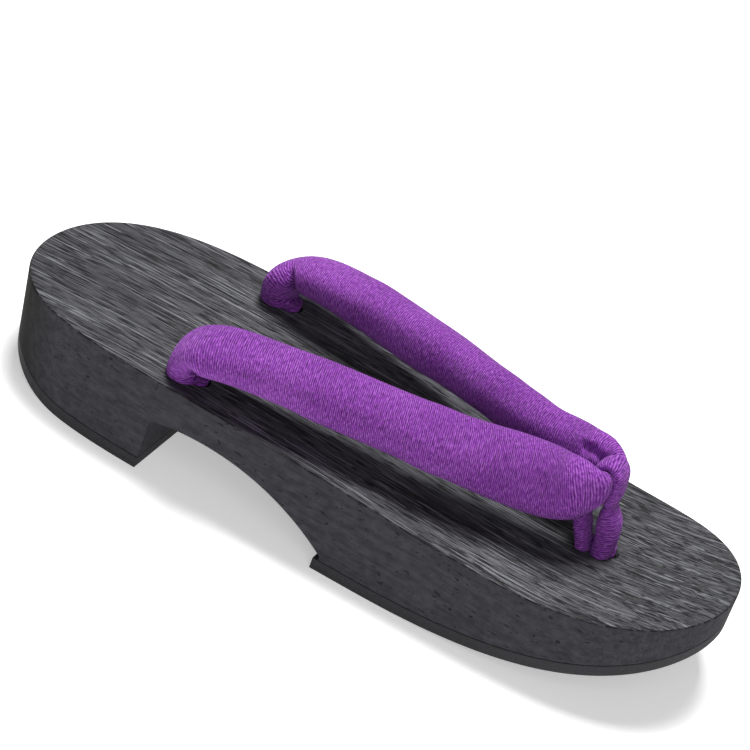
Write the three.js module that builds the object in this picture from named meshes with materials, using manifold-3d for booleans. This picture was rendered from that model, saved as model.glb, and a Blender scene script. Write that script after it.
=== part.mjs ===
// Geta sandal: a black-stained wooden footbed with a heel block and a forefoot block cut
// from one piece, a rubber tread under each block, a padded V strap and its front loop.
// Millimetres, +X from heel to toe, +Y to the wearer's left, +Z up, floor at Z = 0.
// Tables give x as the distance from the heel end; the whole group is then centred on X = 0.
import * as THREE from "three";
import { mergeVertices } from "three/addons/utils/BufferGeometryUtils.js";
import Module from "manifold-3d";

const wasm = await Module();
wasm.setup();

// Driving dimensions
const LENGTH = 241;
const WIDTH = 84.6;
const OUTLINE_SQUARENESS = 5.8; // 2 would be an ellipse, higher is straighter along the sides
const GAP = 0.3; // clearance between pieces that touch

// Height of the footbed's upper face along its length
const UPPER_FACE = [
  { x: 0, z: 30.1 },
  { x: 40, z: 31.6 },
  { x: 80, z: 31.5 },
  { x: 120, z: 30.3 },
  { x: 160, z: 28.1 },
  { x: 200, z: 28.0 },
  { x: LENGTH, z: 33.8 },
];

// Side profile of the underside
const HEEL_FLAT_FROM = 36; // behind this the heel's underside curves up
const HEEL_RISE = 9.3;
const HEEL_FRONT = 65.6;
const HEEL_RAKE = 0.124; // how far the heel end draws in for each millimetre down
const FOREFOOT_REAR = 129.6;
const SPRING_FROM = 138; // ahead of this the forefoot's underside curves up
const TOE_SPRING = 21.5;
const SPRING_POWER = 2.4;
const PAST = 2; // how far a cutting profile runs past the sandal's ends
const HEEL = { flatEnd: HEEL_FRONT, bend: HEEL_FLAT_FROM, end: -PAST };
const FOREFOOT = { flatEnd: FOREFOOT_REAR, bend: SPRING_FROM, end: LENGTH + PAST };
const ARCH = { x: 83.6, top: 19.9, radius: 79.1, corner: 2.2 };
const TREAD = 3.6;
const TREAD_REAR_LIP = 1.8; // the forefoot tread stands out behind the wood

// Strap holes
const REAR_HOLE = { x: 71.6, y: 30.5, radius: 4.2, recessRadius: 5.4, recessTop: 25.5 };
const FRONT_HOLE = { x: 198.6, y: 0, radius: 5, recessRadius: 8, recessTop: 17 };
const REAR_KNOT = { radius: 5, height: 5.6, z: 22.3 };
const FRONT_KNOT = { radius: 7, height: 8, z: 12.6 };
const REAR_STEM_TOP = 33.5; // the stems end inside the strap's and the loop's folded ends
const FRONT_STEM_TOP = 30.2;

// Right half of the V strap from the rear hole to the middle of the front fold; the left half
// mirrors it. wide and thick are half sizes, and tilt turns the outer edge down, in degrees.
const STRAP_ROWS = [
  { x: 68.2, y: 30.5, z: 27, wide: 5.6, thick: 4.8, tilt: 0 },
  { x: 67.6, y: 30.8, z: 33, wide: 7.6, thick: 5.4, tilt: 0 },
  { x: 68.6, y: 30.8, z: 39.4, wide: 9.4, thick: 5.4, tilt: 4 },
  { x: 75, y: 31.7, z: 43.9, wide: 10.6, thick: 5.8, tilt: -2 },
  { x: 95.6, y: 28.8, z: 46.4, wide: 10.1, thick: 7.2, tilt: -5 },
  { x: 120.6, y: 24.2, z: 46.6, wide: 9.8, thick: 7.9, tilt: 8 },
  { x: 145.6, y: 19.3, z: 46.5, wide: 9.9, thick: 7.8, tilt: 23 },
  { x: 168.6, y: 12.6, z: 46.3, wide: 10.9, thick: 7.9, tilt: 47 },
  { x: 180.6, y: 9.9, z: 46.8, wide: 10.7, thick: 8, tilt: 69 },
  { x: 187.6, y: 8.3, z: 48.6, wide: 9.3, thick: 6.3, tilt: 81 },
  { x: 191.6, y: 6.2, z: 49.4, wide: 6.8, thick: 3.9, tilt: 90 },
  { x: 192.9, y: 3, z: 49.6, wide: 5.4, thick: 2.6, tilt: 90 },
];
const STRAP_FOLD = { x: 193.1, y: 0, z: 49.6, wide: 5.1, thick: 2.3, tilt: 90 };

// Front loop: up from the hole, over the strap's front fold and back down to the hole.
// wide is the half width across the foot, thick the half thickness.
const LOOP_ROWS = [
  { x: 199.3, y: -1.8, z: 20, wide: 3.4, thick: 2.4 },
  { x: 199.3, y: -2.4, z: 27, wide: 4, thick: 2.9 },
  { x: 199, y: -1.5, z: 32.5, wide: 4.3, thick: 3.4 },
  { x: 197.6, y: -0.4, z: 38.5, wide: 4.4, thick: 3.7 },
  { x: 195.9, y: 0, z: 43.4, wide: 3.9, thick: 2.3 },
  { x: 196.2, y: 0, z: 49.4, wide: 4.8, thick: 2 },
  { x: 195.5, y: 0, z: 54.4, wide: 5, thick: 1.8 },
  { x: 192.8, y: 0, z: 56.6, wide: 4.9, thick: 1.7 },
  { x: 189.9, y: 0, z: 55, wide: 4.4, thick: 1.6 },
  { x: 188.6, y: 0, z: 50.4, wide: 4, thick: 1.6 },
  { x: 187.9, y: -0.3, z: 44.6, wide: 4, thick: 2 },
  { x: 188.6, y: -1, z: 39, wide: 4.2, thick: 2.4 },
  { x: 190.9, y: -2, z: 34, wide: 4.3, thick: 2.6 },
  { x: 193.4, y: -2.8, z: 28.4, wide: 3.9, thick: 2.3 },
  { x: 193.6, y: -2.6, z: 20, wide: 3.4, thick: 2.1 },
];

const WOOD = new THREE.MeshStandardMaterial({ color: 0x35363a, roughness: 0.62, metalness: 0 });
const RUBBER = new THREE.MeshStandardMaterial({ color: 0x232326, roughness: 0.85, metalness: 0 });
const CREPE = new THREE.MeshStandardMaterial({ color: 0x7d2fa3, roughness: 0.9, metalness: 0 });

// A closed three.js geometry as a solid that can be joined and cut.
function toSolid(geometry) {
  geometry.deleteAttribute("normal");
  geometry.deleteAttribute("uv");
  const merged = mergeVertices(geometry, 1e-4);
  return new wasm.Manifold(
    new wasm.Mesh({
      numProp: 3,
      vertProperties: merged.attributes.position.array,
      triVerts: new Uint32Array(merged.index.array),
    }),
  );
}

function toMesh(solid, name, material) {
  const data = solid.getMesh();
  const geometry = new THREE.BufferGeometry();
  geometry.setAttribute("position", new THREE.BufferAttribute(data.vertProperties, 3));
  geometry.setIndex(new THREE.BufferAttribute(data.triVerts, 1));
  geometry.computeVertexNormals();
  const mesh = new THREE.Mesh(geometry, material);
  mesh.name = name;
  return mesh;
}

// Height of the treads' underside above the floor.
function soleHeight(x) {
  const heel = Math.max(0, (HEEL_FLAT_FROM - x) / HEEL_FLAT_FROM);
  const toe = Math.max(0, (x - SPRING_FROM) / (LENGTH - SPRING_FROM));
  return HEEL_RISE * heel ** 2 + TOE_SPRING * toe ** SPRING_POWER;
}

// The plan outline stood up as a column whose heel end rakes in towards the floor.
function outlineColumn() {
  const corners = 80;
  const half = LENGTH / 2;
  const outline = new THREE.Shape();
  for (let i = 0; i < corners; i++) {
    const turn = (2 * Math.PI * i) / corners;
    const along = Math.sign(Math.cos(turn)) * Math.abs(Math.cos(turn)) ** (2 / OUTLINE_SQUARENESS);
    outline[i ? "lineTo" : "moveTo"](half + half * along, (WIDTH / 2) * Math.sin(turn));
  }
  const top = 40;
  const column = new THREE.ExtrudeGeometry(outline, { depth: top, bevelEnabled: false });
  const place = column.attributes.position;
  for (let i = 0; i < place.count; i++) {
    const rearShare = Math.max(0, (half - place.getX(i)) / half);
    const depth = UPPER_FACE[0].z - place.getZ(i);
    place.setX(i, place.getX(i) + HEEL_RAKE * depth * rearShare);
  }
  return toSolid(column);
}

// A side profile, drawn in x and z, as a slab that is wider than the sandal.
function sideSlab(profile) {
  const slabWidth = 2 * WIDTH;
  const settings = { depth: slabWidth, bevelEnabled: false, curveSegments: 24 };
  const slab = new THREE.ExtrudeGeometry(profile, settings);
  slab.rotateX(Math.PI / 2);
  slab.translate(0, slabWidth / 2, 0);
  return toSolid(slab);
}

// The underside of one block from its flat end to where it curves up and on past the sandal's
// end. Its flat stretch has a point at each end only.
function solePoints(block, raise) {
  const chords = 12;
  const points = [new THREE.Vector2(block.flatEnd, raise)];
  for (let i = 0; i <= chords; i++) {
    const x = block.bend + ((block.end - block.bend) * i) / chords;
    points.push(new THREE.Vector2(x, soleHeight(x) + raise));
  }
  return points;
}

// Draws the upper face from heel to toe, raised by a height and run straight on past both ends.
function drawUpperFace(profile, raise) {
  const points = UPPER_FACE.map((row) => new THREE.Vector2(row.x, row.z + raise));
  const first = points[0];
  const last = points[points.length - 1];
  profile.moveTo(first.x - PAST, first.y);
  profile.lineTo(first.x, first.y);
  profile.splineThru(points.slice(1));
  profile.lineTo(last.x + PAST, last.y);
}

function upright(radius, from, to, x, y) {
  const sides = 28;
  const cylinder = new THREE.CylinderGeometry(radius, radius, to - from, sides);
  cylinder.rotateX(Math.PI / 2);
  cylinder.translate(x, y, (from + to) / 2);
  return toSolid(cylinder);
}

function makeBase(column) {
  const bottom = TREAD + GAP;
  const profile = new THREE.Shape();
  drawUpperFace(profile, 0);
  for (const point of solePoints(FOREFOOT, bottom).reverse()) {
    profile.lineTo(point.x, point.y);
  }
  const centreZ = ARCH.top - ARCH.radius;
  const rearX = HEEL_FRONT + ARCH.corner;
  const frontAngle = Math.acos((FOREFOOT_REAR - ARCH.x) / ARCH.radius);
  const rearAngle = Math.acos((rearX - ARCH.x) / ARCH.radius);
  profile.absarc(ARCH.x, centreZ, ARCH.radius, frontAngle, rearAngle, false);
  const rearZ = centreZ + ARCH.radius * Math.sin(rearAngle);
  profile.quadraticCurveTo(HEEL_FRONT, rearZ, HEEL_FRONT, rearZ - ARCH.corner);
  for (const point of solePoints(HEEL, bottom)) {
    profile.lineTo(point.x, point.y);
  }
  let base = column.intersect(sideSlab(profile));
  for (const side of [-1, 1]) {
    const y = side * REAR_HOLE.y;
    base = base.subtract(upright(REAR_HOLE.radius, 0, LENGTH, REAR_HOLE.x, y));
    base = base.subtract(upright(REAR_HOLE.recessRadius, 0, REAR_HOLE.recessTop, REAR_HOLE.x, y));
  }
  base = base.subtract(upright(FRONT_HOLE.radius, 0, LENGTH, FRONT_HOLE.x, FRONT_HOLE.y));
  return base.subtract(
    upright(FRONT_HOLE.recessRadius, 0, FRONT_HOLE.recessTop, FRONT_HOLE.x, FRONT_HOLE.y),
  );
}

// The tread under one block, with the outline of the wood above it.
function makeTread(column, block) {
  const under = solePoints(block, 0);
  const over = solePoints(block, TREAD).reverse();
  return column.intersect(sideSlab(new THREE.Shape([...under, ...over])));
}

// A tube whose cross-section follows a table: rows hold a centre, half sizes and a tilt.
// It starts as a unit cylinder whose rings are laid one after another along the rows' curve.
// across is the first ring's outward direction, which each later ring carries on.
function makeTube(rows, across, ringsPerRow, sides) {
  const squareness = 2.3;
  const centres = new THREE.CatmullRomCurve3(rows.map((row) => new THREE.Vector3(row.x, row.y, row.z)));
  const sizes = new THREE.CatmullRomCurve3(
    rows.map((row) => new THREE.Vector3(row.wide, row.thick, THREE.MathUtils.degToRad(row.tilt))),
  );
  const ringCount = ringsPerRow * (rows.length - 1);
  const rings = [];
  const outward = across.clone();
  for (let i = 0; i <= ringCount; i++) {
    const along = centres.getTangent(i / ringCount);
    outward.addScaledVector(along, -outward.dot(along)).normalize();
    const upward = new THREE.Vector3().crossVectors(outward, along);
    const size = sizes.getPoint(i / ringCount);
    rings.push({
      centre: centres.getPoint(i / ringCount),
      wide: outward.clone().applyAxisAngle(along, size.z).multiplyScalar(size.x),
      thick: upward.applyAxisAngle(along, size.z).multiplyScalar(size.y),
    });
  }
  const squared = (value) => Math.sign(value) * Math.abs(value) ** (2 / squareness);
  const tube = new THREE.CylinderGeometry(1, 1, 1, sides, ringCount);
  const place = tube.attributes.position;
  for (let i = 0; i < place.count; i++) {
    const ring = rings[Math.round((0.5 + place.getY(i)) * ringCount)];
    const point = ring.centre
      .clone()
      .addScaledVector(ring.wide, squared(place.getX(i)))
      .addScaledVector(ring.thick, squared(place.getZ(i)));
    place.setXYZ(i, point.x, point.y, point.z);
  }
  return toSolid(tube);
}

function makeKnot(knot, x, y) {
  const sphere = new THREE.SphereGeometry(knot.radius, 20, 12);
  sphere.scale(1, knot.height / (2 * knot.radius), 1);
  sphere.rotateX(Math.PI / 2);
  sphere.translate(x, y, knot.z);
  return toSolid(sphere);
}

// The front loop's tube, made thicker by a clearance where it is used to cut the strap.
function loopTube(clearance) {
  const rows = LOOP_ROWS.map((row) => ({
    ...row,
    wide: row.wide + clearance,
    thick: row.thick + clearance,
    tilt: 0,
  }));
  return makeTube(rows, new THREE.Vector3(0, -1, 0), 4, 16);
}

// Everything up to just over the wood's upper face, for cutting off what rests on it.
function belowUpperFace() {
  const profile = new THREE.Shape();
  drawUpperFace(profile, GAP);
  profile.lineTo(LENGTH + PAST, 0);
  profile.lineTo(-PAST, 0);
  return sideSlab(profile);
}

function makeToeLoop() {
  const radius = FRONT_HOLE.radius - 2 * GAP;
  const stem = upright(radius, FRONT_KNOT.z, FRONT_STEM_TOP, FRONT_HOLE.x, FRONT_HOLE.y);
  const knot = makeKnot(FRONT_KNOT, FRONT_HOLE.x, FRONT_HOLE.y);
  return loopTube(0).subtract(belowUpperFace()).add(stem).add(knot);
}

// Both halves of the V strap as one tube, cut where it rests on the wood and where the front
// loop grips it, with a stem and a knot for each rear hole.
function makeStrap() {
  const right = STRAP_ROWS.map((row) => ({ ...row, y: -row.y }));
  const left = STRAP_ROWS.toReversed();
  const heading = new THREE.Vector3(right[4].x - right[3].x, right[4].y - right[3].y, 0).normalize();
  const across = heading.cross(new THREE.Vector3(0, 0, 1));
  const tube = makeTube([...right, STRAP_FOLD, ...left], across, 4, 20);

  let strap = tube.subtract(belowUpperFace()).subtract(loopTube(GAP));
  for (const side of [-1, 1]) {
    const y = side * REAR_HOLE.y;
    strap = strap.add(upright(REAR_HOLE.radius - GAP, REAR_KNOT.z, REAR_STEM_TOP, REAR_HOLE.x, y));
    strap = strap.add(makeKnot(REAR_KNOT, REAR_HOLE.x, y));
  }
  return strap;
}

const column = outlineColumn();
const frontOpening = upright(FRONT_HOLE.recessRadius, -1, FRONT_HOLE.recessTop, FRONT_HOLE.x, FRONT_HOLE.y);
const heelTread = makeTread(column, HEEL);
const forefootBlock = { ...FOREFOOT, flatEnd: FOREFOOT_REAR - TREAD_REAR_LIP };
const forefootTread = makeTread(column, forefootBlock).subtract(frontOpening);

const sandal = new THREE.Group();
sandal.position.x = -LENGTH / 2;
sandal.add(toMesh(makeBase(column), "base", WOOD));
sandal.add(toMesh(heelTread, "heel_rubber", RUBBER));
sandal.add(toMesh(forefootTread, "forefoot_rubber", RUBBER));
sandal.add(toMesh(makeStrap(), "strap", CREPE));
sandal.add(toMesh(makeToeLoop(), "toe_loop", CREPE));

export default sandal;
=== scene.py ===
"""Looks of the geta sandal: black-stained brushed wood, rubber treads and a padded crepe strap.

Tables are in millimetres, with x measured from the heel end, y to the wearer's left and z up
from the floor. place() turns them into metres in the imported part's frame.
"""
import math

import bmesh
import bpy
import numpy as np
from mathutils import Matrix, Vector


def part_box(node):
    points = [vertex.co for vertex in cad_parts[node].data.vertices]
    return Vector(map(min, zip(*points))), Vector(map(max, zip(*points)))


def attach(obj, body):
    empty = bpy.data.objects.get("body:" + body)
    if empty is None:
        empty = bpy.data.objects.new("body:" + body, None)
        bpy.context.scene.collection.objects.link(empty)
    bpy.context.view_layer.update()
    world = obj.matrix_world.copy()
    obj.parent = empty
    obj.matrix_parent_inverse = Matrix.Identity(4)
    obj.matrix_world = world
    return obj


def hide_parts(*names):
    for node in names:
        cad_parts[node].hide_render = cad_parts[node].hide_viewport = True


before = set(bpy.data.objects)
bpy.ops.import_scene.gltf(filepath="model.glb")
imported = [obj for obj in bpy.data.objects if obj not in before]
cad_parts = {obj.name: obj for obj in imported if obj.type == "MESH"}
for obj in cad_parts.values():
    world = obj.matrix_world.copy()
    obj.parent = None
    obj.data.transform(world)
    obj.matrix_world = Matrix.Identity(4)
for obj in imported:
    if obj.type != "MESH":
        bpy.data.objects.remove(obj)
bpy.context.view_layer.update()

MM = 0.001

# ---------------------------------------------------------------------------------------------
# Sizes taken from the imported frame
# ---------------------------------------------------------------------------------------------
base_low, base_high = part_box("base")
heel_low, heel_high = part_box("heel_rubber")
fore_low, fore_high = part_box("forefoot_rubber")

HEEL_END = base_low.x
LENGTH = (base_high.x - base_low.x) / MM
HALF_WIDTH = base_high.y / MM
HEEL_FRONT = (heel_high.x - HEEL_END) / MM
TREAD_REAR = (fore_low.x - HEEL_END) / MM

# ---------------------------------------------------------------------------------------------
# Sizes of the sandal, as in its CAD source
# ---------------------------------------------------------------------------------------------
OUTLINE_SQUARENESS = 5.8
GAP = 0.3
UPPER_FACE_X = np.arange(0, 241, 40)  # the upper face's height at each of these
UPPER_FACE_Z = np.array([30.1, 31.6, 31.5, 30.3, 28.1, 28.0, 33.65])
HEEL_FLAT_FROM = 36
HEEL_RISE = 9.3
HEEL_RAKE = 0.124
RAKE_ENDS = 60  # the raked heel end runs out this far along the sandal
TREAD_REAR_LIP = 1.8
FOREFOOT_REAR = TREAD_REAR + TREAD_REAR_LIP
SPRING_FROM = 138
TOE_SPRING = 21.5
SPRING_POWER = 2.4
TREAD = 3.6
ARCH_X, ARCH_TOP, ARCH_RADIUS, ARCH_CORNER = 83.6, 19.9, 79.1, 2.2
EDGE_ROUND = 0.6  # radius of the upper face's rounded edge
LOWER_EDGE_ROUND = 0.3
TREAD_EDGE_ROUND = 0.35
BEVEL_DEPTH = 2.5  # edges less than this far below the upper face keep their own rounding
RELIEF_MARGIN = 2.5  # the upper face's relief runs out over this distance to its edge

# Fineness of the meshes
COLUMN_SPACING = 1.5  # along the outline
CELLS_ACROSS_TOP = 150
CELLS_ACROSS_BELOW = 36
SHARP_ANGLE = 35  # an edge whose faces turn by more degrees than this is rounded
WELD = 0.02  # points of neighbouring grids that are this close become one
SLIVER = 0.005  # faces thinner than this are dissolved
TINY = 1e-6

REAR_HOLE = {"x": 71.6, "y": 30.5, "radius": 4.2, "recess_radius": 5.4, "recess_top": 25.5}
FRONT_HOLE = {"x": 198.6, "y": 0, "radius": 5, "recess_radius": 8, "recess_top": 17}
HOLE_TOP = LENGTH  # well over the wood, so a hole goes right through
REAR_KNOT = {"radius": 5, "height": 5.6, "z": 22.3, "cord": 1.35}
FRONT_KNOT = {"radius": 7, "height": 8, "z": 12.6, "cord": 1.9}
REAR_STEM = {"radius": 3.9, "from": 22.3, "to": 33.5}
FRONT_STEM = {"radius": 4.4, "from": 12.6, "to": 30.2}

# Right half of the V strap from the rear hole to the middle of the front fold.
# Columns: x, y, z, half width, half thickness, tilt of the outer edge down in degrees
STRAP_HALF = [
    (68.2, 30.5, 27.0, 5.6, 4.8, 0),
    (67.6, 30.8, 33.0, 7.6, 5.4, 0),
    (68.6, 30.8, 39.4, 9.4, 5.4, 4),
    (75.0, 31.7, 43.9, 10.6, 5.8, -2),
    (95.6, 28.8, 46.4, 10.1, 7.2, -5),
    (120.6, 24.2, 46.6, 9.8, 7.9, 8),
    (145.6, 19.3, 46.5, 9.9, 7.8, 23),
    (168.6, 12.6, 46.3, 10.9, 7.9, 47),
    (180.6, 9.9, 46.8, 10.7, 8.0, 69),
    (187.6, 8.3, 48.6, 9.3, 6.3, 81),
    (191.6, 6.2, 49.4, 6.8, 3.9, 90),
    (192.9, 3.0, 49.6, 5.4, 2.6, 90),
]
STRAP_FOLD = (193.1, 0.0, 49.6, 5.1, 2.3, 90)

# Front loop, up from the hole in front of the fold and down behind it.
# Columns: x, y, z, half width across the foot, half thickness
LOOP = [
    (199.3, -1.8, 20.0, 3.4, 2.4),
    (199.3, -2.4, 27.0, 4.0, 2.9),
    (199.0, -1.5, 32.5, 4.3, 3.4),
    (197.6, -0.4, 38.5, 4.4, 3.7),
    (195.9, 0.0, 43.4, 3.9, 2.3),
    (196.2, 0.0, 49.4, 4.8, 2.0),
    (195.5, 0.0, 54.4, 5.0, 1.8),
    (192.8, 0.0, 56.6, 4.9, 1.7),
    (189.9, 0.0, 55.0, 4.4, 1.6),
    (188.6, 0.0, 50.4, 4.0, 1.6),
    (187.9, -0.3, 44.6, 4.0, 2.0),
    (188.6, -1.0, 39.0, 4.2, 2.4),
    (190.9, -2.0, 34.0, 4.3, 2.6),
    (193.4, -2.8, 28.4, 3.9, 2.3),
    (193.6, -2.6, 20.0, 3.4, 2.1),
]

# Creases of the strap. Columns: distance along from the hole's row, angle round the section
# (0 outer edge, 90 upper side, 180 inner edge, 270 underside), half length, half width,
# depth (negative for a ridge), turn of the crease away from the strap's length in degrees
STRAP_CREASES = [
    (16.5, 270, 13.0, 2.2, 2.6, 90),
    (7.5, 271, 8.5, 0.9, 1.6, 90),
    (13.0, 172, 5.0, 2.0, -0.5, 80),
    (10.5, 236, 4.5, 1.2, -0.7, 75),
    (12.0, 318, 3.0, 1.5, -0.4, 90),
]

# Creases that only the left half has: a deep fold over the hole and some by the crossing
LEFT_CREASES = [
    (17.3, 190, 7.5, 1.1, 2.0, 90),
    (136.5, 235, 5.5, 1.2, 1.5, 25),
    (134.0, 234, 2.2, 1.8, 1.0, 0),
    (141.5, 205, 5.0, 0.9, 0.5, 80),
]

# Creases of the front loop, as for the strap
LOOP_CREASES = [
    (23.5, 90, 4.0, 0.8, 0.7, 90),
    (23.5, 0, 3.0, 0.8, 0.6, 80),
    (12.0, 120, 3.0, 0.6, 0.35, 75),
    (8.5, 60, 3.0, 0.6, 0.35, 100),
]

# How far the cloth is gathered at most, from 0 to 1, and how far along the strap this reaches
STRAP_GATHERED = 0.3
LOOP_GATHERED = 0.9
GATHERED_BY_HOLE = 14
GATHERED_BY_FOLD = 16

# ---------------------------------------------------------------------------------------------
# Small tools
# ---------------------------------------------------------------------------------------------


def place(points):
    """Millimetres with x from the heel end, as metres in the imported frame."""
    placed = np.array(points, float) * MM
    placed[..., 0] += HEEL_END
    return placed


def linear(red, green, blue):
    """A screen colour, 0 to 255, as the linear colour that a shader takes."""
    shares = [channel / 255 for channel in (red, green, blue)]
    return (*[c / 12.92 if c <= 0.04045 else ((c + 0.055) / 1.055) ** 2.4 for c in shares], 1.0)


def value_noise(u, v, seed):
    """Smooth noise from -1 to 1 whose lumps are one unit across."""
    table = np.random.default_rng(seed).uniform(-1, 1, (256, 256))
    iu, iv = np.floor(u).astype(int), np.floor(v).astype(int)
    fu, fv = u - iu, v - iv
    fu, fv = fu * fu * (3 - 2 * fu), fv * fv * (3 - 2 * fv)
    low = table[iu % 256, iv % 256] * (1 - fu) + table[(iu + 1) % 256, iv % 256] * fu
    high = table[iu % 256, (iv + 1) % 256] * (1 - fu) + table[(iu + 1) % 256, (iv + 1) % 256] * fu
    return low * (1 - fv) + high * fv


def upper_face(x):
    """Height of the wood's upper face: a smooth curve through its table."""
    step = UPPER_FACE_X[1] - UPPER_FACE_X[0]
    slopes = np.gradient(UPPER_FACE_Z, step)
    span = np.clip(np.floor(np.asarray(x, float) / step).astype(int), 0, len(UPPER_FACE_X) - 2)
    t = (x - UPPER_FACE_X[span]) / step
    return (
        (2 * t**3 - 3 * t**2 + 1) * UPPER_FACE_Z[span]
        + (t**3 - 2 * t**2 + t) * step * slopes[span]
        + (3 * t**2 - 2 * t**3) * UPPER_FACE_Z[span + 1]
        + (t**3 - t**2) * step * slopes[span + 1]
    )


def sole_height(x):
    """Height of the treads' underside above the floor."""
    heel = np.maximum(0, (HEEL_FLAT_FROM - x) / HEEL_FLAT_FROM)
    toe = np.maximum(0, (x - SPRING_FROM) / (LENGTH - SPRING_FROM))
    return HEEL_RISE * heel**2 + TOE_SPRING * toe**SPRING_POWER


def raked(x, z):
    """x of a wall point at height z: the heel end draws in towards the floor."""
    share = np.clip(1 - (x / RAKE_ENDS) ** 2, 0, 1) ** 2
    return x + HEEL_RAKE * (UPPER_FACE_Z[0] - z) * share


def above_sole(x, height):
    """z of wall points that stand a height above the treads' underside, found by a few turns of
    a loop, because the rake moves each point along the sandal."""
    z = np.full_like(x, height)
    for _ in range(6):
        z = sole_height(raked(x, z)) + height
    return z


def new_object(name, points, faces):
    mesh = bpy.data.meshes.new(name)
    mesh.from_pydata(place(points).tolist(), [], faces)
    mesh.update()
    piece = bpy.data.objects.new(name, mesh)
    bpy.context.scene.collection.objects.link(piece)
    return piece


def corner_sets(grid):
    """The four corners of each cell of a grid, in order round the cell."""
    return np.stack([grid[:-1, :-1], grid[1:, :-1], grid[1:, 1:], grid[:-1, 1:]], 2)


class Shell:
    """A closed surface gathered from grids of points that share their edges."""

    def __init__(self):
        self.points, self.faces, self.count = [], [], 0

    def add(self, x, y, z):
        grid = np.stack(np.broadcast_arrays(x, y, z), -1)
        size = grid.shape[0] * grid.shape[1]
        numbers = np.arange(size).reshape(grid.shape[:2]) + self.count
        self.faces += corner_sets(numbers).reshape(-1, 4).tolist()
        self.points.append(grid.reshape(-1, 3))
        self.count += size

    def build(self, name, edge_round, below):
        """Welds the grids and rounds the sharp edges that lie lower than below(point)."""
        piece = new_object(name, np.concatenate(self.points), self.faces)
        mesh = bmesh.new()
        mesh.from_mesh(piece.data)
        bmesh.ops.remove_doubles(mesh, verts=mesh.verts, dist=WELD * MM)
        bmesh.ops.dissolve_degenerate(mesh, dist=SLIVER * MM, edges=mesh.edges)
        bmesh.ops.recalc_face_normals(mesh, faces=mesh.faces)
        sharp = [
            edge
            for edge in mesh.edges
            if len(edge.link_faces) == 2
            and edge.calc_face_angle() > math.radians(SHARP_ANGLE)
            and all(vert.co.z < below(vert.co) for vert in edge.verts)
        ]
        bmesh.ops.bevel(
            mesh, geom=sharp, offset=edge_round * MM, segments=2, profile=0.5,
            affect="EDGES", clamp_overlap=True,
        )
        for face in mesh.faces:
            face.smooth = True
        mesh.to_mesh(piece.data)
        mesh.free()
        return piece


# ---------------------------------------------------------------------------------------------
# The plan outline
# ---------------------------------------------------------------------------------------------


def outline_columns(spacing, exact):
    """One side of the outline from the heel end to the toe end, with evenly spaced points and
    one at each exact x: their x, y and outward direction in plan."""
    half = LENGTH / 2
    turn = np.linspace(np.pi, 0, 4001)
    cosine = np.cos(turn)
    x = half + half * np.sign(cosine) * np.abs(cosine) ** (2 / OUTLINE_SQUARENESS)
    y = HALF_WIDTH * np.sin(turn)
    run = np.concatenate([[0], np.cumsum(np.hypot(np.diff(x), np.diff(y)))])
    even = np.interp(np.linspace(0, run[-1], int(run[-1] / spacing)), run, x)
    close = 0.45 * spacing
    kept = [value for value in even if all(abs(value - e) > close for e in exact)]
    x = np.array(sorted([*kept, *exact]))
    x[0], x[-1] = 0, LENGTH
    lean = 1 - x / half
    y = HALF_WIDTH * np.sqrt(np.maximum(0, 1 - np.abs(lean) ** OUTLINE_SQUARENESS))
    nx = -OUTLINE_SQUARENESS / half * np.sign(lean) * np.abs(lean) ** (OUTLINE_SQUARENESS - 1)
    ny = 2 * y / HALF_WIDTH**2
    size = np.hypot(nx, ny)
    return x, y, nx / size, ny / size


# ---------------------------------------------------------------------------------------------
# The wooden base
# ---------------------------------------------------------------------------------------------


def upper_relief(x, y):
    """Brushed furrows and low swells of the upper face."""
    furrows = 0.6 * value_noise(x / 26 + 7, y / 1.5, 3) + 0.4 * value_noise(x / 14, y / 0.9, 5)
    swells = value_noise(x / 60, y / 14, 8)
    return 0.05 * furrows + 0.12 * swells


def arch_height(x):
    """Underside between the blocks: a round corner at the heel block, then one long arc."""
    centre = ARCH_TOP - ARCH_RADIUS
    corner_x = HEEL_FRONT + ARCH_CORNER
    corner_z = centre + math.sqrt(ARCH_RADIUS**2 - (corner_x - ARCH_X) ** 2)
    share = np.sqrt(np.clip((x - HEEL_FRONT) / ARCH_CORNER, 0, 1))
    corner = corner_z - ARCH_CORNER * (1 - share) ** 2
    arc = centre + np.sqrt(np.maximum(0, ARCH_RADIUS**2 - (x - ARCH_X) ** 2))
    return np.where(x < corner_x, corner, arc)


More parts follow.
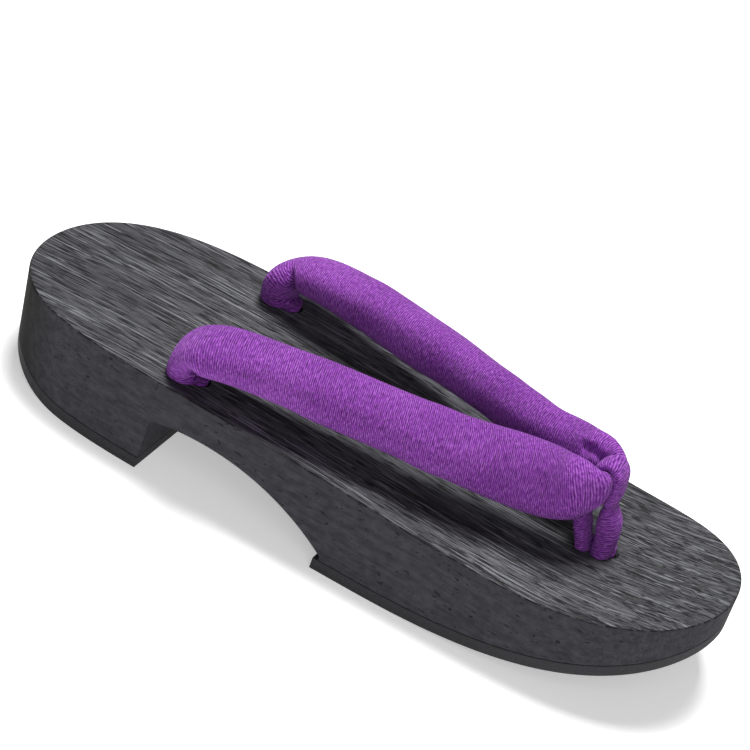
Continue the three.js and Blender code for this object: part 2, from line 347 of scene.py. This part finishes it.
def make_base():
    """The footbed with its heel and forefoot blocks, in one closed surface, and its holes."""
    wall_rows, heel_rows, lip_rows = 14, 7, 2
    corner_steps = [HEEL_FRONT + ARCH_CORNER * step for step in (0.15, 0.5, 1)]
    x, y, nx, ny = outline_columns(COLUMN_SPACING, [HEEL_FRONT, *corner_steps, FOREFOOT_REAR])
    heel = x <= HEEL_FRONT + TINY
    middle = (x >= HEEL_FRONT - TINY) & (x <= FOREFOOT_REAR + TINY)
    fore = x >= FOREFOOT_REAR - TINY
    lip = arch_height(FOREFOOT_REAR) + sole_height(x) - sole_height(FOREFOOT_REAR)
    split = np.where(x > FOREFOOT_REAR, lip, arch_height(np.maximum(x, HEEL_FRONT)))

    shell = Shell()
    wide = np.linspace(-1, 1, CELLS_ACROSS_TOP + 1)[None, :]
    top_x = x - nx * EDGE_ROUND
    top_y = y - ny * EDGE_ROUND
    edge_fade = np.clip((1 - np.abs(wide)) * top_y[:, None] / RELIEF_MARGIN, 0, 1)
    top_z = upper_face(top_x)[:, None]
    top_z = top_z + edge_fade * upper_relief(top_x[:, None], top_y[:, None] * wide)
    shell.add(raked(top_x[:, None], top_z), top_y[:, None] * wide, top_z)

    bottom_z = above_sole(x, TREAD + GAP)
    for side in (-1, 1):
        round_turn = np.radians(np.linspace(90, 0, 6))[None, :]
        inset = EDGE_ROUND * (1 - np.cos(round_turn))
        edge_x = x[:, None] - nx[:, None] * inset
        edge_y = side * (y[:, None] - ny[:, None] * inset)
        edge_z = upper_face(edge_x) - EDGE_ROUND * (1 - np.sin(round_turn))
        shell.add(raked(edge_x, edge_z), edge_y, edge_z)
        for columns, rows, high, low in (
            (slice(None), wall_rows, upper_face(x) - EDGE_ROUND, split),
            (heel, heel_rows, split, bottom_z),
            (fore, lip_rows, split, bottom_z),
        ):
            share = np.linspace(0, 1, rows + 1)[None, :]
            z = high[columns, None] * (1 - share) + low[columns, None] * share
            shell.add(raked(x[columns, None], z), side * y[columns, None] + 0 * z, z)

    wide = np.linspace(-1, 1, CELLS_ACROSS_BELOW + 1)[None, :]
    shell.add(x[middle, None], y[middle, None] * wide, split[middle, None])
    for block in (heel, fore):
        low_x = raked(x[block], bottom_z[block])
        shell.add(low_x[:, None], y[block, None] * wide, bottom_z[block, None])
    for face_x, rows in ((HEEL_FRONT, heel_rows), (FOREFOOT_REAR, lip_rows)):
        at = int(np.argmin(np.abs(x - face_x)))
        z = np.linspace(split[at], bottom_z[at], rows + 1)[:, None]
        shell.add(x[at] + 0 * z, y[at] * wide, z)

    def under_rim(point):
        return (float(upper_face((point.x - HEEL_END) / MM)) - BEVEL_DEPTH) * MM

    base = shell.build("wood_base", LOWER_EDGE_ROUND, under_rim)
    for hole, side in ((REAR_HOLE, -1), (REAR_HOLE, 1), (FRONT_HOLE, 1)):
        cut_round(base, hole["x"], side * hole["y"], hole["radius"], HOLE_TOP)
        cut_round(base, hole["x"], side * hole["y"], hole["recess_radius"], hole["recess_top"])
    return base


def cut_round(piece, x, y, radius, top):
    """Cuts an upright round hole, open below and ending at a height, out of a piece."""
    mesh = bmesh.new()
    bmesh.ops.create_cone(
        mesh, cap_ends=True, segments=64, depth=2 * top * MM, radius1=radius * MM,
        radius2=radius * MM, matrix=Matrix.Translation(place((x, y, 0))),
    )
    data = bpy.data.meshes.new("cutter")
    mesh.to_mesh(data)
    mesh.free()
    cutter = bpy.data.objects.new("cutter", data)
    bpy.context.scene.collection.objects.link(cutter)
    modifier = piece.modifiers.new("hole", "BOOLEAN")
    modifier.operation = "DIFFERENCE"
    modifier.object = cutter
    modifier.solver = "EXACT"
    apply_modifiers(piece)
    bpy.data.objects.remove(cutter)


def apply_modifiers(piece):
    """Makes the shape that a piece's modifiers give its own mesh."""
    evaluated = piece.evaluated_get(bpy.context.evaluated_depsgraph_get())
    mesh = bpy.data.meshes.new_from_object(evaluated)
    piece.modifiers.clear()
    piece.data = mesh
    mesh.shade_smooth()


# ---------------------------------------------------------------------------------------------
# The rubber treads
# ---------------------------------------------------------------------------------------------


def make_tread(name, first_x, last_x):
    """One tread: the outline between two distances along the sandal, under the wood."""
    rows = 4
    ends = [value for value in (first_x, last_x) if 0 < value < LENGTH]
    x, y, _, _ = outline_columns(COLUMN_SPACING, ends)
    part = (x >= first_x - TINY) & (x <= last_x + TINY)
    x, y = x[part], y[part]
    wide = np.linspace(-1, 1, CELLS_ACROSS_BELOW + 1)[None, :]
    shell = Shell()
    levels = np.array([above_sole(x, height) for height in np.linspace(0, TREAD, rows + 1)]).T
    level_x = raked(x[:, None], levels)
    for side in (-1, 1):
        shell.add(level_x, side * y[:, None] + 0 * levels, levels)
    for level in (0, -1):
        shell.add(level_x[:, level, None], y[:, None] * wide, levels[:, level, None])
    for at, value in ((0, first_x), (-1, last_x)):
        if 0 < value < LENGTH:
            shell.add(level_x[at, :, None], y[at] * wide, levels[at, :, None])
    return shell.build(name, TREAD_EDGE_ROUND, lambda point: 1.0)


# ---------------------------------------------------------------------------------------------
# Strap and loop: padded tubes swept along a table of sections
# ---------------------------------------------------------------------------------------------


def smooth_rows(rows, per_span):
    """A centripetal Catmull-Rom curve through the rows' centres, with all columns on it."""
    rows = np.array(rows, float)
    rows = np.concatenate([[2 * rows[0] - rows[1]], rows, [2 * rows[-1] - rows[-2]]])
    gaps = np.sqrt(np.linalg.norm(np.diff(rows[:, :3], axis=0), axis=1))
    knots = np.concatenate([[0], np.cumsum(gaps)])
    out = []
    for i in range(1, len(rows) - 2):
        t0, t1, t2, t3 = knots[i - 1 : i + 3]
        p0, p1, p2, p3 = rows[i - 1 : i + 3]
        for t in np.linspace(t1, t2, per_span, endpoint=False):
            a1 = p0 * (t1 - t) / (t1 - t0) + p1 * (t - t0) / (t1 - t0)
            a2 = p1 * (t2 - t) / (t2 - t1) + p2 * (t - t1) / (t2 - t1)
            a3 = p2 * (t3 - t) / (t3 - t2) + p3 * (t - t2) / (t3 - t2)
            b1 = a1 * (t2 - t) / (t2 - t0) + a2 * (t - t0) / (t2 - t0)
            b2 = a2 * (t3 - t) / (t3 - t1) + a3 * (t - t1) / (t3 - t1)
            out.append(b1 * (t2 - t) / (t2 - t1) + b2 * (t - t1) / (t2 - t1))
    out.append(rows[-2])
    return np.array(out)


class Tube:
    """Rings of points round a curve, with the distance along and the angle of each point."""

    def __init__(self, rows, across, per_span, sides):
        rings = smooth_rows(rows, per_span)
        centres = rings[:, :3]
        along = np.gradient(centres, axis=0)
        along /= np.linalg.norm(along, axis=1)[:, None]
        outward = np.array(across, float)
        squareness = 2.3
        angle = np.linspace(-np.pi / 2, 1.5 * np.pi, sides, endpoint=False)
        wide = np.sign(np.cos(angle)) * np.abs(np.cos(angle)) ** (2 / squareness)
        thick = np.sign(np.sin(angle)) * np.abs(np.sin(angle)) ** (2 / squareness)
        points = []
        for ring, direction in zip(rings, along):
            outward = outward - direction * outward.dot(direction)
            outward /= np.linalg.norm(outward)
            upward = np.cross(outward, direction)
            tilt = math.radians(ring[5])
            out = outward * math.cos(tilt) + np.cross(direction, outward) * math.sin(tilt)
            up = upward * math.cos(tilt) + np.cross(direction, upward) * math.sin(tilt)
            section = wide[:, None] * out * ring[3] + thick[:, None] * up * ring[4]
            points.append(ring[:3] + section)
        self.points = np.array(points)
        steps = np.linalg.norm(np.diff(centres, axis=0), axis=1)
        self.along = np.concatenate([[0], np.cumsum(steps)])
        self.angle = np.degrees(angle)
        self.radius = (rings[:, 3] + rings[:, 4]) / 2
        self.length = self.along[-1]

    def normals(self):
        lengthwise = np.gradient(self.points, axis=0)
        crosswise = np.roll(self.points, -1, axis=1) - np.roll(self.points, 1, axis=1)
        normal = np.cross(lengthwise, crosswise)
        normal /= np.maximum(np.linalg.norm(normal, axis=2), 1e-9)[..., None]
        outward = self.points - self.points.mean(axis=1, keepdims=True)
        return normal * np.sign((normal * outward).sum(axis=2).mean())

    def press(self, creases, from_far_end=False):
        """Sinks each crease of a table into the surface, and raises the ridges."""
        along = self.length - self.along if from_far_end else self.along
        depth = np.zeros(self.points.shape[:2])
        for at, angle, half_length, half_width, deep, turn in creases:
            ds = (along - at)[:, None]
            dc = (self.angle[None, :] - angle + 180) % 360 - 180
            dc = np.radians(dc) * self.radius[:, None]
            t = math.radians(turn)
            lengthwise = ds * math.cos(t) + dc * math.sin(t)
            crosswise = dc * math.cos(t) - ds * math.sin(t)
            shape = np.exp(-((crosswise / half_width) ** 2))
            depth += deep * shape * np.exp(-((lengthwise / half_length) ** 4))
        self.points -= depth[..., None] * self.normals()

    def soften(self, amount, size, seed):
        """Uneven stuffing: low lumps all over."""
        u = self.along[:, None] / size
        v = np.cos(np.radians(self.angle))[None, :] * self.radius[:, None] / size
        w = np.sin(np.radians(self.angle))[None, :] * self.radius[:, None] / size
        lumps = value_noise(u + 0.3 * w, v + 20, seed) + value_noise(u + 40, w + 60 + 0.3 * v, seed + 1)
        self.points += (0.5 * amount * lumps)[..., None] * self.normals()

    def around(self):
        """Distance round each ring from its upper side, with the closing seam on the underside."""
        turn = np.radians(np.linspace(-180, 180, self.points.shape[1] + 1))
        return turn[None, :] * self.radius[:, None]


class Cloth:
    """One mesh gathered from tubes of cloth. Its face corners carry the weave's own
    coordinates: the distance along each tube and round it in millimetres, and how far the cloth
    is gathered there, from 0 to 1."""

    def __init__(self):
        self.points, self.faces, self.weave, self.count = [], [], [], 0

    def add(self, points, along, around, gathered, joined=False):
        """Rings of points, with one more value round than points. The last ring meets the first
        if they are joined, or else both ends are closed."""
        rings, sides = points.shape[:2]
        numbers = np.arange(rings * sides).reshape(rings, sides)
        numbers = np.concatenate([numbers, numbers[:, :1]], axis=1)
        if joined:
            numbers = np.concatenate([numbers, numbers[:1]])
        weave = np.stack(np.broadcast_arrays(along[:, None], around, gathered), -1)
        quads, corners = corner_sets(numbers), corner_sets(weave)
        edge = points.reshape(-1, 3)[quads.reshape(-1, 4)]
        normal = np.cross(edge[:, 1] - edge[:, 0], edge[:, 2] - edge[:, 1])
        centres = np.repeat(points.mean(axis=1), sides, axis=0)[: len(edge)]
        turned = ((edge[:, 0] - centres) * normal).sum() < 0
        faces = [*(quads.reshape(-1, 4) + self.count)]
        weaves = [*corners.reshape(-1, 4, 3)]
        if not joined:
            for ring, order in ((0, 1), (-1, -1)):
                faces.append(numbers[ring, :-1][::order] + self.count)
                weaves.append(weave[ring, :-1][::order])
        step = -1 if turned else 1
        self.faces += [face[::step].tolist() for face in faces]
        self.weave += [corner[::step] for corner in weaves]
        self.points.append(points.reshape(-1, 3))
        self.count += rings * sides

    def build(self, name):
        piece = new_object(name, np.concatenate(self.points), self.faces)
        attribute = piece.data.attributes.new("weave", "FLOAT_VECTOR", "CORNER")
        attribute.data.foreach_set("vector", np.concatenate(self.weave).ravel())
        piece.data.shade_smooth()
        return piece


def add_stem(cloth, stem, x, y):
    """A twisted end of cloth where it goes down through the wood: three lobes round it that turn
    by some degrees for each millimetre of height."""
    sides, rings, twist = 42, 26, 26
    height = np.linspace(stem["from"], stem["to"], rings)
    turn = np.linspace(0, 2 * np.pi, sides + 1)
    lobes = np.abs(np.cos(1.5 * (turn[None, :-1] - np.radians(twist) * height[:, None]))) ** 0.7
    radius = stem["radius"] * (0.8 + 0.2 * lobes)
    points = np.stack(
        [
            x + radius * np.cos(turn[:-1]),
            y + radius * np.sin(turn[:-1]),
            np.broadcast_to(height[:, None], radius.shape),
        ],
        -1,
    )
    cloth.add(points, height, turn[None, :] * stem["radius"], 1.0)


def add_knot(cloth, knot, x, y):
    """The knot under a hole: the cord wound once along a trefoil, within its radius and height."""
    rings, sides = 150, 18
    cord = knot["cord"]
    reach = knot["radius"] - cord
    t = np.linspace(0, 2 * np.pi, rings, endpoint=False)
    ring = reach * (0.74 + 0.26 * np.cos(3 * t))
    rise = knot["height"] / 2 - cord
    path = np.stack([ring * np.cos(2 * t), ring * np.sin(2 * t), rise * np.sin(3 * t)], -1)
    along = np.roll(path, -1, axis=0) - np.roll(path, 1, axis=0)
    length = np.linalg.norm(along, axis=1) / 2
    along /= np.linalg.norm(along, axis=1)[:, None]
    side = np.cross(along, (0, 0, 1))
    side /= np.linalg.norm(side, axis=1)[:, None]
    up = np.cross(side, along)
    turn = np.linspace(0, 2 * np.pi, sides + 1)
    cosine, sine = np.cos(turn[:-1])[None, :, None], np.sin(turn[:-1])[None, :, None]
    circle = cosine * side[:, None] + sine * up[:, None]
    points = path[:, None] + cord * circle + np.array([x, y, knot["z"]])
    run = np.concatenate([[0], np.cumsum(length)])
    cloth.add(points, run, turn[None, :] * cord, 1.0, joined=True)


def rest_on_wood(tube, hole, end_rings):
    """Flattens a tube's end where it sits on the wood and gathers it into its hole."""
    draw_in_depth = 3.5
    gathered = hole["radius"] - 2 * GAP
    rings = tube.points[end_rings]
    centre = np.array([hole["x"], hole["y"]])
    floor = upper_face(rings[..., 0]) + GAP
    below = np.clip((floor - rings[..., 2]) / draw_in_depth, 0, 1)
    offset = rings[..., :2] - centre
    distance = np.maximum(np.linalg.norm(offset, axis=-1), TINY)
    pulled = centre + offset * (gathered / distance)[..., None]
    rings[..., :2] += (pulled - rings[..., :2]) * below[..., None]
    rings[..., 2] = np.maximum(rings[..., 2], floor)
    tube.points[end_rings] = rings


def make_strap():
    """The V strap with its two halves, its stems and its knots."""
    right = [(x, -y, *rest) for x, y, *rest in STRAP_HALF]
    rows = [*right, STRAP_FOLD, *reversed(STRAP_HALF)]
    heading = np.array([right[4][0] - right[3][0], right[4][1] - right[3][1], 0])
    across = np.cross(heading / np.linalg.norm(heading), (0, 0, 1))
    tube = Tube(rows, across, per_span=26, sides=88)
    tube.soften(amount=0.35, size=9, seed=21)
    tube.press(STRAP_CREASES)
    tube.press(STRAP_CREASES, from_far_end=True)
    tube.press(LEFT_CREASES, from_far_end=True)
    ends = tube.points.shape[0] // 5
    rest_on_wood(tube, {**REAR_HOLE, "y": -REAR_HOLE["y"]}, slice(0, ends))
    rest_on_wood(tube, REAR_HOLE, slice(-ends, None))
    from_hole = np.minimum(tube.along, tube.length - tube.along)
    from_fold = np.abs(tube.along - tube.length / 2)
    near_hole = np.clip(1 - from_hole / GATHERED_BY_HOLE, 0, 1)
    near_fold = np.clip(1 - from_fold / GATHERED_BY_FOLD, 0, 1)
    gathered = STRAP_GATHERED * np.maximum(near_hole, near_fold)
    cloth = Cloth()
    cloth.add(tube.points, tube.along, tube.around(), gathered[:, None])
    for side in (-1, 1):
        add_stem(cloth, REAR_STEM, REAR_HOLE["x"], side * REAR_HOLE["y"])
        add_knot(cloth, REAR_KNOT, REAR_HOLE["x"], side * REAR_HOLE["y"])
    return cloth.build("strap_padded")


def make_loop():
    """The front loop round the strap's fold, with its stem and knot."""
    rows = [(*row, 0) for row in LOOP]
    tube = Tube(rows, (0, -1, 0), per_span=20, sides=56)
    tube.soften(amount=0.3, size=4, seed=31)
    tube.press(LOOP_CREASES)
    ends = tube.points.shape[0] // 4
    rest_on_wood(tube, FRONT_HOLE, slice(0, ends))
    rest_on_wood(tube, FRONT_HOLE, slice(-ends, None))
    cloth = Cloth()
    cloth.add(tube.points, tube.along, tube.around(), LOOP_GATHERED)
    add_stem(cloth, FRONT_STEM, FRONT_HOLE["x"], FRONT_HOLE["y"])
    add_knot(cloth, FRONT_KNOT, FRONT_HOLE["x"], FRONT_HOLE["y"])
    return cloth.build("loop_padded")


# ---------------------------------------------------------------------------------------------
# Materials
# ---------------------------------------------------------------------------------------------


class Shader:
    """A material's node tree, built a node at a time."""

    def __init__(self, name):
        self.material = bpy.data.materials.new(name)
        self.material.use_nodes = True
        self.tree = self.material.node_tree
        self.surface = self.tree.nodes["Principled BSDF"]

    def node(self, kind, inputs=None, **settings):
        made = self.tree.nodes.new(kind)
        for key, value in settings.items():
            setattr(made, key, value)
        for key, value in (inputs or {}).items():
            self.plug(value, made.inputs[key])
        return made

    def plug(self, value, socket):
        if isinstance(value, bpy.types.NodeSocket):
            self.tree.links.new(value, socket)
        else:
            socket.default_value = value

    def math(self, operation, first, second=0.0):
        return self.node("ShaderNodeMath", {0: first, 1: second}, operation=operation).outputs[0]

    def noise(self, vector, scale, stretch=(1, 1, 1), detail=2.0, roughness=0.5, distortion=0.0):
        mapped = self.node("ShaderNodeMapping", {"Vector": vector, "Scale": stretch})
        made = self.node(
            "ShaderNodeTexNoise",
            {
                "Vector": mapped.outputs[0],
                "Scale": scale,
                "Detail": detail,
                "Roughness": roughness,
                "Distortion": distortion,
            },
        )
        return made.outputs["Fac"]

    def ramp(self, value, stops):
        """Maps a value through stops of (position, grey or colour)."""
        made = self.node("ShaderNodeValToRGB", {"Fac": value})
        elements = made.color_ramp.elements
        while len(elements) < len(stops):
            elements.new(0.5)
        for element, (position, colour) in zip(elements, stops):
            element.position = position
            element.color = colour if isinstance(colour, tuple) else (colour, colour, colour, 1)
        return made.outputs["Color"]

    def mix(self, factor, first, second):
        """Mixes two colours, which are the node's sockets 6 and 7."""
        made = self.node("ShaderNodeMix", data_type="RGBA")
        self.plug(factor, made.inputs["Factor"])
        self.plug(first, made.inputs[6])
        self.plug(second, made.inputs[7])
        return made.outputs[2]

    def bump(self, height, distance):
        inputs = {"Height": height, "Distance": distance, "Strength": 1.0}
        return self.node("ShaderNodeBump", inputs).outputs[0]


def wood_material():
    """Black-stained wood, brushed along the grain on top, planed on its walls, with its heel end dark:
    end grain and painted shade.
    """
    s = Shader("stained_wood")
    at = s.node("ShaderNodeTexCoord").outputs["Object"]
    facing = s.node("ShaderNodeSeparateXYZ", {0: s.node("ShaderNodeNewGeometry").outputs["Normal"]})
    top = s.ramp(facing.outputs["Z"], [(0.80, 0.0), (0.95, 1.0)])
    rim = s.ramp(facing.outputs["Z"], [(0.15, 0.0), (0.4, 1.0), (0.85, 1.0), (0.98, 0.0)])
    # Faces turned to the heel end: end grain, and painted shade, since less light falls on that side;
    # the toe end is not darkened.
    heelward = s.math("MULTIPLY", facing.outputs["X"], -1.0)
    heel_end_grain_and_shade = s.ramp(heelward, [(0.30, 0.0), (0.70, 1.0)])

    fine = s.noise(at, 1.0, (60, 1300, 700), detail=3, roughness=0.7)
    broad = s.noise(at, 1.0, (9, 150, 150), detail=3, roughness=0.55, distortion=0.2)
    lines = s.noise(at, 1.0, (24, 1600, 500), detail=1, roughness=0.5)
    dashes = s.noise(at, 1.0, (120, 1450, 1450), detail=1, roughness=0.5)
    scuffs = s.noise(at, 1.0, (260, 420, 420), detail=4, roughness=0.65)
    pits = s.noise(at, 1.0, (420, 1100, 1100), detail=1, roughness=0.5)

    grain = s.math("ADD", s.math("MULTIPLY", fine, 0.65), s.math("MULTIPLY", broad, 0.35))
    top_colour = s.ramp(
        grain,
        [
            (0.36, linear(22, 22, 23)),
            (0.46, linear(53, 53, 56)),
            (0.56, linear(73, 73, 78)),
            (0.68, linear(101, 101, 106)),
        ],
    )
    light_lines = s.ramp(lines, [(0.59, 0.0), (0.63, 1.0)])
    dark_dashes = s.ramp(dashes, [(0.37, 0.9), (0.45, 0.0)])
    top_colour = s.mix(light_lines, top_colour, linear(116, 117, 122))
    top_colour = s.mix(dark_dashes, top_colour, linear(14, 14, 15))
    wall_grain = s.math("ADD", s.math("MULTIPLY", scuffs, 0.55), s.math("MULTIPLY", fine, 0.45))
    wall_colour = s.ramp(wall_grain, [(0.38, linear(45, 44, 49)), (0.62, linear(64, 63, 69))])
    wall_pits = s.ramp(pits, [(0.26, 0.8), (0.33, 0.0)])
    wall_colour = s.mix(wall_pits, wall_colour, linear(12, 12, 13))
    # Near-black end grain colour, with painted shade on the heel end.
    heel_end_colour_and_shade = s.ramp(scuffs, [(0.42, linear(1, 1, 1)), (0.60, linear(22, 20, 16))])
    colour = s.mix(heel_end_grain_and_shade, wall_colour, heel_end_colour_and_shade)
    colour = s.mix(top, colour, top_colour)
    rim_colour = s.ramp(scuffs, [(0.46, linear(6, 6, 6)), (0.62, linear(70, 70, 74))])
    colour = s.mix(s.math("MULTIPLY", rim, 0.8), colour, rim_colour)
    s.plug(colour, s.surface.inputs["Base Color"])

    rough = s.math("SUBTRACT", 0.6, s.math("MULTIPLY", fine, 0.4))
    rough = s.math("ADD", rough, s.math("MULTIPLY", dark_dashes, 0.3))
    matte = s.math("MULTIPLY", s.math("SUBTRACT", 1.0, top), 0.9)
    rough = s.math("ADD", s.math("MULTIPLY", rough, top), matte)
    s.plug(rough, s.surface.inputs["Roughness"])
    s.surface.inputs["Specular IOR Level"].default_value = 0.24
    height = s.math("ADD", s.math("MULTIPLY", fine, 0.8), s.math("MULTIPLY", light_lines, 0.15))
    height = s.math("SUBTRACT", height, s.math("MULTIPLY", dark_dashes, 0.3))
    brushed = s.math("MULTIPLY", height, top)
    planed = s.math("MULTIPLY", scuffs, 0.12)
    s.plug(s.bump(s.math("ADD", brushed, planed), 0.0006), s.surface.inputs["Normal"])
    return s.material


def rubber_material():
    """Matte black sheet rubber with a fine tooth."""
    s = Shader("tread_rubber")
    at = s.node("ShaderNodeTexCoord").outputs["Object"]
    tooth = s.noise(at, 1400.0, detail=4, roughness=0.7)
    cloud = s.noise(at, 70.0, detail=3)
    tone = s.math("ADD", s.math("MULTIPLY", tooth, 0.5), s.math("MULTIPLY", cloud, 0.5))
    colour = s.ramp(tone, [(0.3, linear(38, 38, 40)), (0.7, linear(58, 58, 62))])
    s.plug(colour, s.surface.inputs["Base Color"])
    s.plug(s.ramp(cloud, [(0.3, 0.7), (0.7, 0.85)]), s.surface.inputs["Roughness"])
    s.surface.inputs["Specular IOR Level"].default_value = 0.35
    s.plug(s.bump(tooth, 0.0003), s.surface.inputs["Normal"])
    return s.material


def crepe_material():
    """Purple crepe: fine broken ribs across the strap, with a soft nap, and painted shade in the
    grooves of its ribs.
    """
    rib_pitch, slant = 0.6, 0.14
    s = Shader("strap_crepe")
    at = s.node("ShaderNodeTexCoord").outputs["Object"]
    weave = s.node("ShaderNodeAttribute", attribute_name="weave").outputs["Vector"]
    along, around, gathered = s.node("ShaderNodeSeparateXYZ", {0: weave}).outputs
    wander = s.noise(weave, 1.0, (0.3, 0.25, 1), detail=3, roughness=0.6)
    phase = s.math("ADD", along, s.math("MULTIPLY", around, slant))
    ribs = s.math("ADD", s.math("DIVIDE", phase, rib_pitch), s.math("MULTIPLY", wander, 1.1))
    rib = s.math("SINE", s.math("MULTIPLY", ribs, 2 * math.pi))
    rib = s.math("ADD", s.math("MULTIPLY", rib, 0.5), 0.5)
    slanted = s.node("ShaderNodeCombineXYZ", {0: phase, 1: around}).outputs[0]
    dash = s.noise(slanted, 1.0, (1.9, 0.6, 1), detail=2, roughness=0.6)
    thread = s.noise(at, 2200.0, detail=2, roughness=0.6)
    patch = s.noise(at, 55.0, detail=2)
    coarse = s.math("SINE", s.math("MULTIPLY", ribs, math.pi))
    coarse = s.math("MULTIPLY", s.math("MULTIPLY", coarse, 0.06), gathered)
    height = s.math("ADD", s.math("MULTIPLY", rib, 0.34), s.math("MULTIPLY", dash, 1.0))
    height = s.math("ADD", height, coarse)
    height = s.math("ADD", height, s.math("MULTIPLY", thread, 0.3))
    # The colour follows the bump's height: low parts of the ribs and dashes are painted darker, as
    # shade, over the cloth's own patches of tone.
    tone = s.math("ADD", s.math("MULTIPLY", height, 0.8), s.math("MULTIPLY", patch, 0.2))
    colour = s.ramp(
        tone,
        [
            (0.50, linear(68, 18, 90)),
            (0.70, linear(122, 49, 152)),
            (0.84, linear(146, 70, 175)),
            (0.97, linear(180, 107, 208)),
        ],
    )
    s.plug(colour, s.surface.inputs["Base Color"])
    s.surface.inputs["Roughness"].default_value = 0.86
    s.surface.inputs["Specular IOR Level"].default_value = 0.25
    s.surface.inputs["Sheen Weight"].default_value = 0.25
    s.surface.inputs["Sheen Roughness"].default_value = 0.45
    s.surface.inputs["Sheen Tint"].default_value = linear(206, 160, 226)
    s.plug(s.bump(height, 0.0005), s.surface.inputs["Normal"])
    return s.material


def floor_material():
    """A pale floor that gives off a little light of its own, as a light table does."""
    s = Shader("studio_floor")
    s.surface.inputs["Base Color"].default_value = (0.85, 0.85, 0.85, 1)
    s.surface.inputs["Emission Color"].default_value = (1, 1, 1, 1)
    s.surface.inputs["Emission Strength"].default_value = 0.42
    s.surface.inputs["Roughness"].default_value = 0.95
    s.surface.inputs["Specular IOR Level"].default_value = 0.1
    return s.material


# ---------------------------------------------------------------------------------------------
# Camera, light and floor, in metres
# ---------------------------------------------------------------------------------------------
LIT_POINT = (0, 0, 0.03)
FLOOR_REACH = 6.0


def add_camera():
    """A long lens over the near side, turned about its own axis."""
    target = Vector((-0.00613, 0, 0.043357))
    distance, azimuth, elevation, roll = 1.0, 15.894, 31.592, 20.247
    az, el, turn = (math.radians(value) for value in (azimuth, elevation, roll))
    back = Vector((math.sin(az) * math.cos(el), -math.cos(az) * math.cos(el), math.sin(el)))
    right = Vector((math.cos(az), math.sin(az), 0))
    up = right.cross(-back)
    rolled_right = right * math.cos(turn) + up * math.sin(turn)
    rolled_up = up * math.cos(turn) - right * math.sin(turn)
    camera = bpy.data.objects.new("camera", bpy.data.cameras.new("camera"))
    camera.data.lens = 159.602
    camera.data.sensor_width = 36
    camera.data.clip_end = 20
    axes = Matrix((rolled_right, rolled_up, back)).transposed().to_4x4()
    camera.matrix_world = Matrix.Translation(target + back * distance) @ axes
    bpy.context.scene.collection.objects.link(camera)
    bpy.context.scene.camera = camera


def add_light(name, position, size, power):
    """A square soft light, in metres and watts, that looks at the middle of the sandal."""
    data = bpy.data.lights.new(name, "AREA")
    data.shape = "SQUARE"
    data.size = size
    data.energy = power
    light = bpy.data.objects.new(name, data)
    light.location = position
    light.rotation_mode = "QUATERNION"
    light.rotation_quaternion = (Vector(LIT_POINT) - Vector(position)).to_track_quat("-Z", "Y")
    bpy.context.scene.collection.objects.link(light)


def add_studio():
    """A floor as wide as any view needs, an even pale world and two soft lights."""
    floor_mesh = bpy.data.meshes.new("floor")
    signs = [(-1, -1), (1, -1), (1, 1), (-1, 1)]
    corners = [(FLOOR_REACH * x, FLOOR_REACH * y, 0) for x, y in signs]
    floor_mesh.from_pydata(corners, [], [(0, 1, 2, 3)])
    floor = bpy.data.objects.new("floor", floor_mesh)
    bpy.context.scene.collection.objects.link(floor)
    floor.data.materials.append(floor_material())
    world = bpy.data.worlds.new("studio")
    bpy.context.scene.world = world
    world.use_nodes = True
    world.node_tree.nodes["Background"].inputs["Color"].default_value = (1, 1, 1, 1)
    world.node_tree.nodes["Background"].inputs["Strength"].default_value = 0.14
    add_light("key", (-0.16, 0.34, 1.4), size=0.5, power=26)
    add_light("fill", (0.5, -1.0, 0.8), size=1.0, power=5)
    bpy.context.scene.view_settings.view_transform = "Standard"


# ---------------------------------------------------------------------------------------------
# Building the sandal
# ---------------------------------------------------------------------------------------------


def finish_piece(piece, material, slot, *nodes):
    """Gives a piece its material, attaches it to the root body and hides the CAD nodes that it stands
    for.
    """
    piece.data.materials.clear()
    piece.data.materials.append(material)
    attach(piece, "root")
    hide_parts(*nodes)


add_camera()
add_studio()

wood, rubber, crepe = wood_material(), rubber_material(), crepe_material()
finish_piece(make_base(), wood, "stained_wood", "base")
finish_piece(make_tread("heel_tread", 0, HEEL_FRONT), rubber, "tread_rubber", "heel_rubber")
forefoot_tread = make_tread("forefoot_tread", TREAD_REAR, LENGTH)
cut_round(
    forefoot_tread, FRONT_HOLE["x"], FRONT_HOLE["y"], FRONT_HOLE["recess_radius"],
    FRONT_HOLE["recess_top"],
)
finish_piece(forefoot_tread, rubber, "tread_rubber", "forefoot_rubber")
strap = make_strap()
finish_piece(strap, crepe, "strap_crepe", "strap")
loop = make_loop()
finish_piece(loop, crepe, "strap_crepe", "toe_loop")
